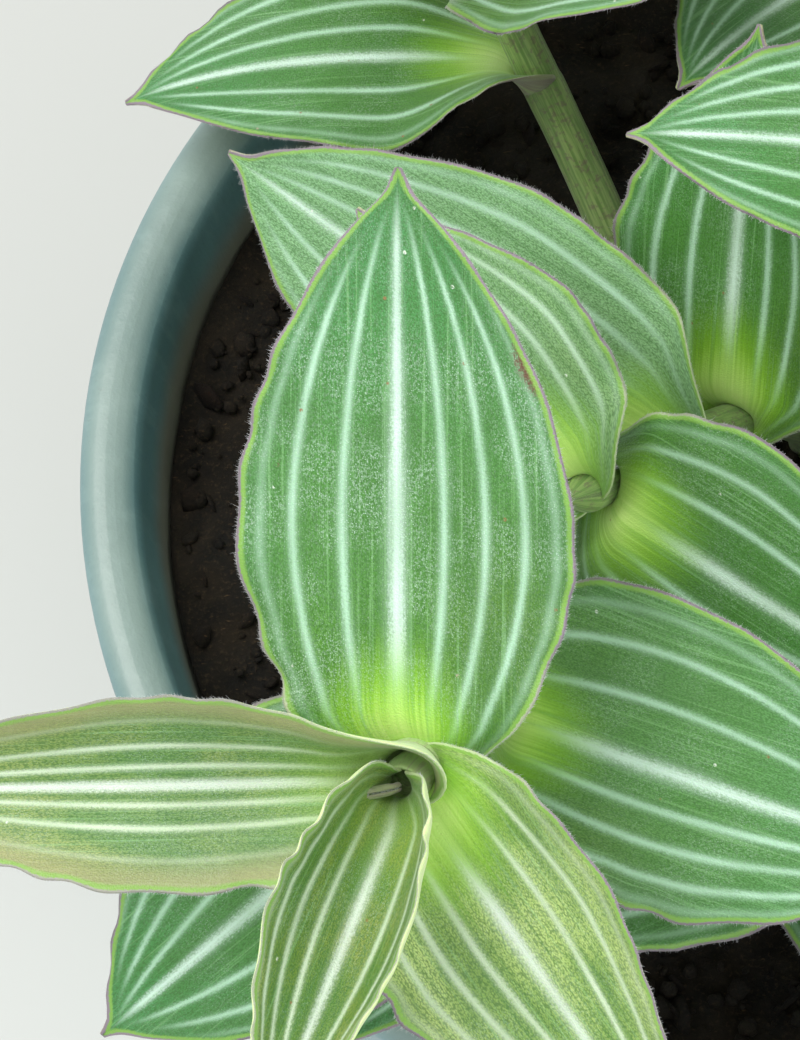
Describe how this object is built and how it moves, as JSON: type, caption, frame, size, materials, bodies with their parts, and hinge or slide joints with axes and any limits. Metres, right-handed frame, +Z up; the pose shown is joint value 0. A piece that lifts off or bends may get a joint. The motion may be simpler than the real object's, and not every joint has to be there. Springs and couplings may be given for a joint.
{
  "type": "potted striped inch plant",
  "caption": "Potted inch plant: leafy stems with broad pointed green leaves striped in silver, rooted in soil in a plain tapered round pot with a rolled rim.",
  "frame": {"origin": "centre of the pot's flat underside", "axes": "+Z up along the pot's axis; -Y is the side that the picture was taken from; +X to the picture's right"},
  "size_m": [0.2348, 0.2336, 0.2181],
  "materials": {
    "pot_glaze": "satin",
    "soil": "matte",
    "foliage": "satin"
  },
  "bodies": {
    "root": {"pot": "pot_glaze", "soil": "soil", "leafy_stem_front_left": "foliage", "leafy_stem_middle_left": "foliage", "leafy_stem_front": "foliage", "leafy_stem_back_left": "foliage", "leafy_stem_back": "foliage", "leafy_stem_back_right": "foliage", "leafy_stem_right": "foliage", "leafy_stem_front_right": "foliage", "leafy_stem_middle": "foliage"}
  },
  "joints": []
}
